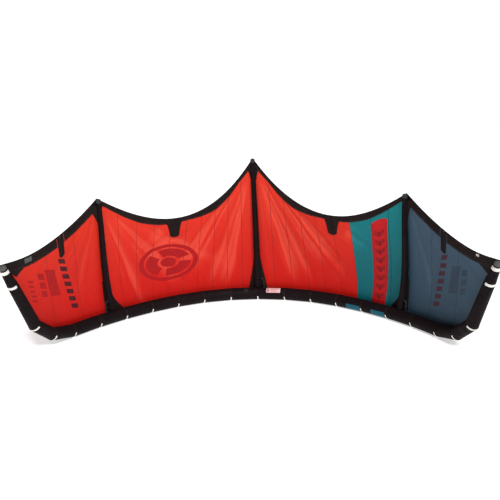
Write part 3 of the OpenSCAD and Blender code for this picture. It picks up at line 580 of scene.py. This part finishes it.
def ring_print(middle, radii, inner, outer, first=0.0, last=360.0):
    """A flat ring round a point, between two shares of its radii."""
    angles = np.radians(np.linspace(first, last, 97))
    share, angle = np.meshgrid(np.linspace(inner, outer, 9), angles, indexing="ij")
    return printed(middle[0] + radii[0] * share * np.cos(angle), middle[1] + radii[1] * share * np.sin(angle))


def bars(side, foot, head, width, count, share, skew=0.0):
    """A column of slanted bars from foot to head, which are span and chord positions of its inner side."""
    foot, head = np.array(foot), np.array(head)
    made = []
    for k in range(count):
        low, high = (lerp(foot, head, (k + q) / count) for q in (0, share))
        v, u = np.meshgrid(np.linspace(0, 1, 16), np.linspace(0, 1, 16), indexing="ij")
        made += printed(side * (lerp(low[0], high[0], v) + width * u), lerp(low[1], high[1], v) + skew * u)
    return made


def make_prints():
    middle, radii = (-1.33, 0.72), (0.455, 0.31)
    rings = ring_print(middle, radii, 0.84, 1.0) + ring_print(middle, radii, 0.02, 0.26)
    for angle in (20, 140, 260):
        rings += ring_print(middle, radii, 0.36, 0.76, angle, angle + 96)
    piece("print_roundel", rings, "print_deep_red")
    column = ((2.80, 0.34), (2.93, 1.18), 0.105, 7, 0.60, 0.03)
    blocks = ((3.05, 0.62), (3.10, 1.02), 0.15, 1, 1.0, 0.04)
    small_blocks = ((3.25, 0.66), (3.28, 1.05), 0.09, 3, 0.7, 0.03)
    piece("print_left_column", bars(-1, *column), "print_maroon")
    piece("print_left_blocks", bars(-1, *blocks) + bars(-1, *small_blocks), "print_deep_red")
    piece("print_left_small", bars(-1, (3.42, 0.64), (3.45, 1.00), 0.07, 5, 0.45, 0.02), "print_deep_red")
    piece("print_right_column", bars(1, *column), "print_plum")
    piece("print_right_blocks", bars(1, *blocks) + bars(1, *small_blocks), "print_slate_deep")


def make_stripe():
    """The tall red stripe on the teal panels, with rounded ends and a column of chevrons."""
    v, u = np.meshgrid(np.linspace(0.004, 0.89, 110), np.linspace(-1, 1, 17), indexing="ij")
    end = (0.89 - v) / 0.035
    width = np.sqrt(np.clip(1 - np.clip(1 - end, 0, 1) ** 2, 0.03, 1))
    k = 8.5 + 0.47 * u * width

    def place(k, v):
        k = k - 0.26 * (1 - v)
        s = k * STRUT_S / PANELS - SEAM_LEAN * np.sin(np.pi * k / PANELS) * v
        return s, lerp(low_h(s), te_h(s), v)
    piece("accent_stripe_cloth", printed(*place(k, v)), "print_red", 0.0006)
    marks = []
    for j in range(8):
        for way in (-1, 1):
            u, w = np.meshgrid(np.linspace(0, 0.29, 8), np.linspace(0, 0.050, 5), indexing="ij")
            marks += printed(*place(8.5 + way * u, 0.07 + 0.092 * j + w + 0.10 * u), MARK_LIFT)
    for side in (-1, 1):
        v, w = np.meshgrid(np.linspace(0.02, 0.85, 60), np.array([0, 0.028]), indexing="ij")
        marks += printed(*place(8.5 + side * (0.37 + w), v), MARK_LIFT)
    piece("accent_stripe_marks", marks, "print_wine")


# ---- trailing edge, batten pockets and patches ----
def hem(side, low_s, high_s):
    """A band folded over the trailing edge, seen on both sides, with a thin rolled edge."""
    s, q = np.meshgrid(np.linspace(low_s, high_s, 100), np.linspace(-1, 1, 21), indexing="ij")
    width = band_h(s)
    down = np.abs(q) ** 1.3 * width
    roll = 0.0028 * np.exp(-((np.abs(q) - 0.13) / 0.1) ** 2)
    lift = np.sign(q) * (0.0026 + roll) * np.clip(np.abs(q) * 12, 0, 1)
    h = te_h(s) - down + 0.002
    return on_cloth(side * s, h, lift), np.stack([side * s, q * width], -1)


STITCH_PITCH, STITCH_WIDTH = 0.020, 0.0022


def stitches(side, low_s, high_s, inset):
    """A row of short raised stitches beside a band's inner edge."""
    made = []
    for s in np.arange(low_s + STITCH_PITCH, high_s - STITCH_PITCH, STITCH_PITCH):
        along = np.array([0, 0.5, 1]) * STITCH_PITCH * 0.55 + s
        a, w = np.meshgrid(along, np.array([-0.5, 0.5]) * STITCH_WIDTH, indexing="ij")
        h = te_h(a) - band_h(a) * inset + w
        made.append(patch(side * a, h, STITCH_LIFT))
    return made


def make_bands():
    for name, side, low_s, high_s in (("left_tip", -1, STRUT_S, TIP_S), ("left_inner", -1, 0.0, STRUT_S),
                                      ("right_inner", 1, 0.0, STRUT_S), ("right_tip", 1, STRUT_S, TIP_S)):
        band = piece("te_band_" + name + "_cloth", [hem(side, low_s, high_s)], "reinforcement_black", FABRIC)
        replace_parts(band, "te_band_" + name)
        piece("te_band_" + name + "_stitches", stitches(side, low_s, high_s, 0.90)
              + stitches(side, low_s, high_s, 0.82), "stitch_light", 0.0006)


def pocket(side, where):
    """A batten pocket: a narrowing patch with a ridge over its batten."""
    middle, length, wide, narrow = where
    t, u = np.meshgrid(np.linspace(0, 1.04, 40), np.linspace(-1, 1, 41), indexing="ij")
    rounding = np.sqrt(np.clip(1 - np.clip((t - 0.93) / 0.11, 0, 1) ** 2, 0.02, 1))
    half = lerp(wide, narrow, np.clip(t, 0, 1)) * rounding
    shift = POCKET_SHIFT[side] if where is POCKET_INNER else 0.0
    s = middle + shift + u * half * (1 - 0.16 * np.sin(np.pi * np.clip(t, 0, 1)) * (wide > 2 * narrow))
    ridge = 0.0078 * np.exp(-((s - middle) / 0.024) ** 4) * smooth(1.02 - t, 0.0, 0.05)
    h = te_h(s) - 0.012 - length * t
    return on_cloth(side * s, h, POCKET_LIFT + ridge), np.stack([side * s, h], -1)


def make_pockets():
    for side, name in ((-1, "left"), (1, "right")):
        for kind, where in (("inner", POCKET_INNER), ("tip", POCKET_TIP)):
            node = f"batten_pocket_{name}_{kind}"
            obj = piece(node + "_cloth", [pocket(side, where)], "reinforcement_black", FABRIC)
            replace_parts(obj, node)
        lines = []
        for edge in (-1, 1):
            t, w = np.meshgrid(np.linspace(0.02, 0.44, 30), np.array([0, 1]) * 0.010, indexing="ij")
            s = POCKET_TIP[0] + edge * (lerp(*POCKET_TIP[2:], t) + 0.004 + w)
            lines.append(patch(side * s, te_h(s) - 0.012 - POCKET_TIP[1] * t, PIPING_LIFT))
        piece(f"pocket_piping_{name}", lines, "tape_red" if side < 0 else "tape_slate", FABRIC)


def make_tip_patches():
    for side, name in ((-1, "left"), (1, "right")):
        t, u = np.meshgrid(np.linspace(0, 1, 40), np.linspace(0, 1, 24), indexing="ij")
        low_s, low_c = lerp(3.660, 3.390, t), lerp(1.075, 1.262, t) + 0.02 * np.sin(np.pi * t)
        high_s = lerp(3.795, 3.402, t)
        s, h = lerp(low_s, high_s, u), lerp(low_c, te_h(high_s) - 0.09, u)
        cloth = [patch(side * s, h, PATCH_LIFT)]
        obj = piece(f"tip_patch_{name}_cloth", cloth, "reinforcement_black", FABRIC)
        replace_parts(obj, f"tip_patch_{name}")
    # Size labels: span positions of both sides, and how far the edges are below the trailing edge
    for name, side, low_s, high_s, far, near, look in (
            ("left", -1, 3.42, 3.53, 0.020, 0.085, "fabric_grey"),
            ("right", 1, 3.50, 3.545, 0.018, 0.046, "label_light")):
        corners = [(low_s, near), (high_s, near), (high_s, far), (low_s, far)]
        corners = [(side * s, float(te_h(s)) - down) for s, down in corners]
        piece("size_label_" + name, [four_sided(corners, 6, 8, LABEL_LIFT)], look, FABRIC)


# ---- tubes ----
def le_centre(i):
    if i < 0:
        return le_centre(-i) * np.array([-1, 1, 1])
    if i < FIRST_TIP_SEAM:
        x, y = plan(i * SEAM)
        return np.array([float(x), float(y), float(le_r(i)) + LIFT])
    s, h = TIP_PATH[i - FIRST_TIP_SEAM]
    return at(s, h, 0)


def le_s(i):
    return i * SEAM if i < FIRST_TIP_SEAM else TIP_PATH[i - FIRST_TIP_SEAM, 0]


def tube_frame(i):
    """Directions of the tube before, after and through seam i, and the outward and chordwise ones."""
    before = unit(le_centre(i) - le_centre(i - 1))
    after = unit(le_centre(i + 1) - le_centre(i)) if i < LE_END else before
    m = unit(before + after)
    n0 = out_dir(le_s(i))
    n = unit(n0 - m * (n0 @ m))
    return before, after, m, n, np.cross(m, n)


def mitre_ring(i, r, angle):
    """Points round seam i at radius r. Angle 0 is outwards, 90 towards the trailing edge."""
    before, after, m, n, b = tube_frame(i)
    a = np.radians(angle)[..., None]
    v = np.asarray(r)[..., None] * (np.cos(a) * n + np.sin(a) * b)
    bend = after - before
    k = n if np.linalg.norm(bend) < 1e-6 else unit(bend)
    return le_centre(i) + v + k * ((v @ k)[..., None] * (1 / (m @ before) - 1))


def tube_point(i, share, angle, off=0.0):
    """A point of the tube between seams i and i + 1, with its bulge and the puckers at its seams."""
    share, angle = np.broadcast_arrays(np.asarray(share, float), np.asarray(angle, float))
    length = np.linalg.norm(le_centre(i + 1) - le_centre(i))
    to_seam = np.minimum(share, 1 - share) * length
    inner_side = 0.5 - 0.5 * np.cos(np.radians(angle))
    ribs = 0.5 + 0.5 * np.sin(np.radians(angle) * 23 + 1.3 * i)
    pucker = 0.0022 * ribs * np.exp(-((to_seam - 0.030) / 0.022) ** 2)
    swell = 0.0015 * (1 - np.exp(-(to_seam / 0.02) ** 2)) + pucker * (0.15 + 0.85 * inner_side)
    ends = [mitre_ring(i + k, le_r(i + k) + swell + off, angle) for k in (0, 1)]
    return lerp(ends[0], ends[1], share[..., None])


def mirror(grids, side):
    return [(p * np.array([side, 1, 1]), uv) for p, uv in grids]


def tube_segment(i):
    length = np.linalg.norm(le_centre(i + 1) - le_centre(i))
    near = np.array([0, 0.004, 0.009, 0.015, 0.022, 0.030, 0.040, 0.055, 0.075])
    near = near[near < 0.4 * length] / length
    shares = np.concatenate([near, np.linspace(near[-1], 1 - near[-1], 8)[1:-1], 1 - near[::-1]])
    t, a = np.meshgrid(shares, np.linspace(0, 360, 145), indexing="ij")
    return tube_point(i, t, a, -0.0004), np.stack([i * SEAM + t * length, np.radians(a) * le_r(i)], -1)


def make_leading_edge():
    for name, side, first, last in (
            ("left_tip", -1, TIP_SLEEVE_FROM, LE_END), ("left_inner", -1, 0, TIP_SLEEVE_FROM),
            ("right_inner", 1, 0, TIP_SLEEVE_FROM), ("right_tip", 1, TIP_SLEEVE_FROM, LE_END)):
        grids = mirror([tube_segment(i) for i in range(first, last)], side)
        sleeve = piece("le_sleeve_" + name + "_cloth", grids, "dacron_black", 0.0010)
        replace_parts(sleeve, "le_sleeve_" + name)
        seams = mirror([seam_ring(i) for i in range(max(first, 1), last)], side)
        piece("le_seams_" + name, seams + mirror(side_seam(first, last), side), "stitch_grey", 0.0006)


def strip_round(i, angles, width, off, steps=60):
    """A strip round the tube over seam i, between two angles."""
    lengths = [np.linalg.norm(le_centre(k + 1) - le_centre(k)) for k in (i - 1, i)]
    a, w = np.meshgrid(np.linspace(*angles, steps), np.linspace(-0.5, 0.5, 7) * width, indexing="ij")
    before = tube_point(i - 1, 1 + np.minimum(w, 0) / lengths[0], a, off)
    after = tube_point(i, np.maximum(w, 0) / lengths[1], a, off)
    points = np.where((w < 0)[..., None], before, after)
    return points, np.stack([w, np.radians(a) * le_r(i)], -1)


def seam_ring(i):
    return strip_round(i, (0, 360), 0.004, 0.0003, 97)


def side_seam(first, last):
    """The long seam of the tube, on its upper side, and the row of stitches that holds the cloth."""
    made = []
    for angle, width in ((64, 0.006), (20, 0.012)):
        for i in range(first, last):
            half = math.degrees(width / 2 / le_r(i))
            across = np.linspace(angle - half, angle + half, 3)
            t, a = np.meshgrid(np.linspace(0, 1, 24), across, indexing="ij")
            made.append((tube_point(i, t, a, 0.0006), np.stack([t * SEAM, np.radians(a) * le_r(i)], -1)))
    return made


GUARD_ANGLES = (182, 352)   # a guard goes round the lower half of the tube
GUARD_WIDTHS = [0.017] * 8 + [0.022, 0.026, 0.034]


def make_strips():
    guards = []
    for i in range(len(GUARD_WIDTHS)):
        grids = [strip_round(i, GUARD_ANGLES, GUARD_WIDTHS[i], 0.0018)]
        guards += mirror(grids, 1) + (mirror(grids, -1) if i else [])
    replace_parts(piece("seam_guards_cloth", guards, "webbing_white", 0.0012), "seam_guards")
    edges = []
    for i in range(len(GUARD_WIDTHS)):
        for way in (-1, 1):
            grids = [strip_round(i, GUARD_ANGLES, 0.0014, 0.0027)]
            shift = tube_frame(i)[2] * way * (GUARD_WIDTHS[i] / 2 - 0.003)
            grids = [(grids[0][0] + shift, grids[0][1])]
            edges += mirror(grids, 1) + (mirror(grids, -1) if i else [])
    piece("seam_guard_stitches", edges, "label_light", 0.0006)
    web = [strip_round(11, (150, 345), 0.042, 0.0026)]
    webbing = piece("tip_webbing_cloth", mirror(web, 1) + mirror(web, -1), "webbing_white", 0.0018)
    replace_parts(webbing, "tip_webbing")


def make_tip_caps():
    """Gathered cloth ends of the leading edge."""
    before, _, _, n, b = tube_frame(LE_END)
    q, a = np.meshgrid(np.linspace(-0.25, 1, 26), np.linspace(0, 2 * math.pi, 97), indexing="ij")
    profile = np.where(q < 0, 1.035, np.sqrt(np.clip(1 - np.clip(q, 0, 1) ** 2.4, 0.0004, 1)) * 1.035)
    gather = 1 + 0.03 * np.sin(19 * a) * smooth(q, 0.25, 0.8)
    r = le_r(LE_END) * profile * gather
    points = le_centre(LE_END) + before * (q * 0.036)[..., None] \
        + r[..., None] * (np.cos(a)[..., None] * n + np.sin(a)[..., None] * b)
    uv = np.stack([q * 0.036, a * le_r(LE_END)], -1)
    for side, name in ((-1, "left"), (1, "right")):
        cap = piece(f"tip_end_cap_{name}_cloth", mirror([(points, uv)], side), "fabric_grey", FABRIC)
        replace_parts(cap, "tip_end_cap_" + name)


# ---- struts ----
STRUT_RINGS, STRUT_FROM = 8, 0.180


def strut_chord(s):
    return float(te_h(s)) - 0.022


def strut_r(s, h):
    return lerp(STRUT_R_FRONT, STRUT_R_BACK, h / strut_chord(s))


def strut_mid(s, h):
    """The strut's middle line, straight from one of the CAD part's rings to the next."""
    stations = lerp(STRUT_FROM, strut_chord(s), (np.arange(STRUT_RINGS + 1) / STRUT_RINGS) ** 0.9)
    heights = cloth_n(s, stations) - strut_r(s, stations) - STRUT_GAP
    return at(s, h, np.interp(h, stations, heights))


def cope_h(s, n, x):
    """Chord position where a strut meets the leading edge tube, for a point n over the arc and x along it."""
    q = np.abs(s + x)
    r, tube = le_r(q / SEAM), tube_n(q) - x * x / (2 * ARC_R_CENTRE)
    climb = math.sin(heading(s)) * math.sin(LEAN)
    over_tube = np.sqrt(np.maximum(0, (r + 0.004) ** 2 - (n - tube) ** 2))
    return np.maximum(STRUT_FROM, r * math.cos(LEAN) + x * climb / math.sqrt(1 - climb * climb) + over_tube)


def strut_tube(s, side):
    """A strut's sleeve from the leading edge to its end, with puckers where it is sewn on."""
    end = strut_chord(s)
    h, a = np.meshgrid(lerp(0.235, end, np.linspace(0, 1, 70) ** 1.1), np.radians(np.linspace(0, 360, 73)),
                       indexing="ij")
    x = span_dir(s)
    along = unit(strut_mid(s, h + 0.01) - strut_mid(s, h - 0.01))
    y = np.cross(x, along)
    near_ends = np.exp(-((h - 0.25) / 0.05) ** 2) + np.exp(-((h - end + 0.03) / 0.02) ** 2)
    pucker = 0.0012 * np.sin(17 * a) * near_ends
    r = (strut_r(s, h) - 0.0006 + pucker)[..., None]
    points = strut_mid(s, h) + r * (np.cos(a)[..., None] * x + np.sin(a)[..., None] * y)
    away = points[0] - at(s, 0, 0)
    to_tube = cope_h(s, away @ out_dir(s), away @ x) - away @ CHORD_DIR
    front = points[0] + (to_tube / (along[0, 0] @ CHORD_DIR))[:, None] * along[0]
    fill = [lerp(front, points[0], t) for t in (0, 0.25, 0.5, 0.75)]
    points = np.concatenate([np.array(fill), points])
    h = np.concatenate([np.repeat(h[:1], 4, 0) - np.array([0.08, 0.06, 0.04, 0.02])[:, None], h])
    return mirror([(points, np.stack([h, np.concatenate([a[:4], a]) * STRUT_R_FRONT], -1))], side)


def strut_cap(s, side):
    """The rounded cloth end of a strut, with a hemmed collar."""
    end = strut_chord(s)
    along = unit(strut_mid(s, end) - strut_mid(s, end - 0.05))
    x = span_dir(s)
    y = np.cross(x, along)
    q, a = np.meshgrid(np.linspace(-1.4, 1, 34), np.linspace(0, 2 * math.pi, 73), indexing="ij")
    shape = np.where(q < 0, 1.03 + 0.03 * np.exp(-((q + 1.3) / 0.1) ** 2),
                     1.03 * np.sqrt(np.clip(1 - np.clip(q, 0, 1) ** 2.2, 0.001, 1)))
    r = STRUT_R_BACK * shape * (1 + 0.025 * np.sin(15 * a) * smooth(q, 0.1, 0.7))
    points = strut_mid(s, end) + along * (q * 0.021)[..., None] \
        + r[..., None] * (np.cos(a)[..., None] * x + np.sin(a)[..., None] * y)
    return mirror([(points, np.stack([q * 0.021, a * STRUT_R_BACK], -1))], side)


def web(s, side, way, stations, widths):
    """A web sewn to the cloth beside a strut and up the strut's side. way is 1 or -1 along the span."""
    t, u = np.meshgrid(np.linspace(0, 1, 48), np.linspace(0, 1, 20), indexing="ij")
    h = lerp(stations[0], stations[-1], t)
    r = strut_r(s, h)
    q = s + way * lerp(0.82 * r, np.interp(h, stations, widths), u)
    climb = (0.43 * r + STRUT_GAP) * (1 - u) ** 2.5
    h = np.minimum(h, te_h(q) - 0.008)
    return [(on_cloth(side * q, h, 0.0034 + climb), np.stack([q, h], -1))]


def make_struts():
    for name, s, side in (("left", STRUT_S, -1), ("centre", 0.0, 1), ("right", STRUT_S, 1)):
        sleeve = piece(f"strut_sleeve_{name}_cloth", strut_tube(s, side), "dacron_black", 0.0010)
        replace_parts(sleeve, "strut_sleeve_" + name)
        cap = piece(f"strut_tip_cap_{name}_cloth", strut_cap(s, side), "cap_charcoal", FABRIC)
        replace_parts(cap, "strut_tip_cap_" + name)
        top = float(te_h(s))
        if s:
            webs = web(s, side, -1, (0.12, 0.22, 0.30, 0.40, 0.52, 0.62),
                       (0.215, 0.150, 0.105, 0.075, 0.056, 0.046))
            webs += web(s, side, 1, (0.12, 0.30, 0.62), (0.080, 0.066, 0.046))
            webs += web(s, side, -1, [top - q for q in (0.34, 0.20, 0.13, 0.09, 0.04)],
                        (0.030, 0.042, 0.064, 0.100, 0.16))
            outer = (0.030, 0.070, 0.118, 0.170) if side < 0 else (0.030, 0.048, 0.078, 0.130)
            webs += web(s, side, 1, [top - q for q in (0.34, 0.25, 0.17, 0.09)], outer)
        else:
            webs = []
            for way in (-1, 1):
                webs += web(s, side, way, (0.12, 0.25, 0.45, 0.66), (0.144, 0.118, 0.080, 0.044))
                webs += web(s, side, way, [top - q for q in (0.38, 0.28, 0.20, 0.13, 0.08)],
                            (0.030, 0.048, 0.070, 0.105, 0.140))
        gusset = piece(f"strut_gusset_{name}_cloth", webs, "reinforcement_black", FABRIC)
        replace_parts(gusset, "strut_gusset_" + name)


# ---- labels on the leading edge ----
def tube_label(i, share, angles, off=0.0018):
    t, a = np.meshgrid(np.linspace(*share, 24), np.linspace(*angles, 18), indexing="ij")
    return [(tube_point(i, t, a, off), np.stack([t * SEAM, np.radians(a) * le_r(i)], -1))]


INK_LIFT = 0.0026   # how far the care label's printing lies off the tube


def make_labels():
    label = piece("care_label_cloth", tube_label(0, (0.32, 0.84), (143, 89)), "label_pink", 0.0006)
    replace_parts(label, "care_label")
    ink = []
    for k in range(5):
        top = 137 - 8.6 * k
        ink += tube_label(0, (0.46, 0.80 - 0.05 * (k % 3)), (top, top - 3.0), INK_LIFT)
    for angles in ((136, 118), (113, 98)):
        ink += tube_label(0, (0.35, 0.42), angles, INK_LIFT)
    piece("care_label_marks", ink, "label_ink", 0.0003)
    patches = tube_label(3, (0.42, 0.96), (230, 163)) + tube_label(4, (0.42, 0.96), (230, 163))
    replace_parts(piece("edge_patches_cloth", patches, "patch_teal", 0.0006), "edge_patches")


# ---- the CAD part's own pieces keep their shape and get their finish ----
KEPT = {
    "le_bladder": "bladder_film", "battens": "batten_white", "valve_saddle": "rubber_black",
    "valve_body": "plastic_grey", "valve_flap": "flap_silicone", "valve_cap": "plastic_dark",
    "valve_cap_pin": "pin_steel", "hose_fittings": "plastic_grey", "pump_leash_loop": "webbing_black",
    "tip_loops_left": "webbing_black", "tip_loops_right": "webbing_black", "bridle_tabs": "webbing_black",
}
for place in ("left", "centre", "right"):
    KEPT.update({"strut_bladder_" + place: "bladder_film", "hose_" + place: "hose_clear",
                 "clip_body_" + place: "plastic_grey", "clip_jaw_" + place: "plastic_dark"})

for node, look in KEPT.items():
    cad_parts[node].data.materials.clear()
    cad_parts[node].data.materials.append(LOOKS[look])

make_seams()
make_prints()
make_stripe()
make_bands()
make_pockets()
make_tip_patches()
make_leading_edge()
make_strips()
make_tip_caps()
make_struts()
make_labels()
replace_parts(bpy.data.objects["accent_stripe_cloth"], "accent_stripe")


# ---- light, floor and the end of the script ----
AMBIENT, KEY_STRENGTH = 0.27, 2.5
KEY_DIRECTION = (-0.24, 0.66, -0.70)   # the way the key light shines, from above in front and a little right


def make_stage():
    world = bpy.data.worlds.new("world")
    world.use_nodes = True
    tree = world.node_tree
    shown, ambient = tree.nodes["Background"], tree.nodes.new("ShaderNodeBackground")
    shown.inputs[0].default_value = ambient.inputs[0].default_value = (1, 1, 1, 1)
    ambient.inputs[1].default_value = AMBIENT
    which, path = tree.nodes.new("ShaderNodeMixShader"), tree.nodes.new("ShaderNodeLightPath")
    tree.links.new(path.outputs["Is Camera Ray"], which.inputs[0])
    tree.links.new(ambient.outputs[0], which.inputs[1])
    tree.links.new(shown.outputs[0], which.inputs[2])
    tree.links.new(which.outputs[0], tree.nodes["World Output"].inputs[0])
    bpy.context.scene.world = world
    floor = bpy.data.meshes.new("floor")
    floor.from_pydata([(-40, -40, 0), (40, -40, 0), (40, 60, 0), (-40, 60, 0)], [], [(0, 1, 2, 3)])
    ground = Shader("floor", Emission_Color=(1, 1, 1, 1), Emission_Strength=0.52)
    ground.finish(ground.mix(ground.noise(0.6), srgb("F4F4F4"), srgb("F8F8F8")), 0.9)
    floor.materials.append(ground.material)
    obj = bpy.data.objects.new("floor", floor)
    bpy.context.scene.collection.objects.link(obj)
    obj.location.z = -0.002
    key = bpy.data.lights.new("key", "SUN")
    key.energy, key.angle = KEY_STRENGTH, math.radians(14)
    lamp = bpy.data.objects.new("key", key)
    lamp.rotation_euler = Vector(KEY_DIRECTION).to_track_quat("-Z", "Y").to_euler()
    bpy.context.scene.collection.objects.link(lamp)
    bpy.context.scene.view_settings.view_transform = "Standard"


make_stage()
